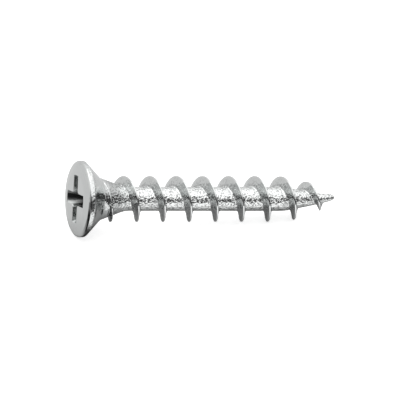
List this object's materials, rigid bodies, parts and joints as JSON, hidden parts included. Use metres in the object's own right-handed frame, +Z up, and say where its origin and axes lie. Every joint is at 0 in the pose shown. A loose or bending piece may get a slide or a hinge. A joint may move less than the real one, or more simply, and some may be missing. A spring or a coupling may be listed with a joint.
{
  "type": "pvc profile screw",
  "caption": "Countersunk self-tapping screw with a cross recess, slim core, deep coarse thread and needle point, bright zinc plated, for plastic window profiles.",
  "frame": {"origin": "centre of the head's flat face, at the mouth of the recess", "axes": "+X horizontal, from the head towards the tip; +Z up; the screw lies on the rim of its head and on its thread, so its own axis falls 4.40 degrees from head to tip"},
  "size_m": [0.0253, 0.007, 0.007],
  "materials": {
    "zinc_plated_steel": "bright zinc plated"
  },
  "bodies": {
    "root": {"screw": "zinc_plated_steel"}
  },
  "joints": []
}
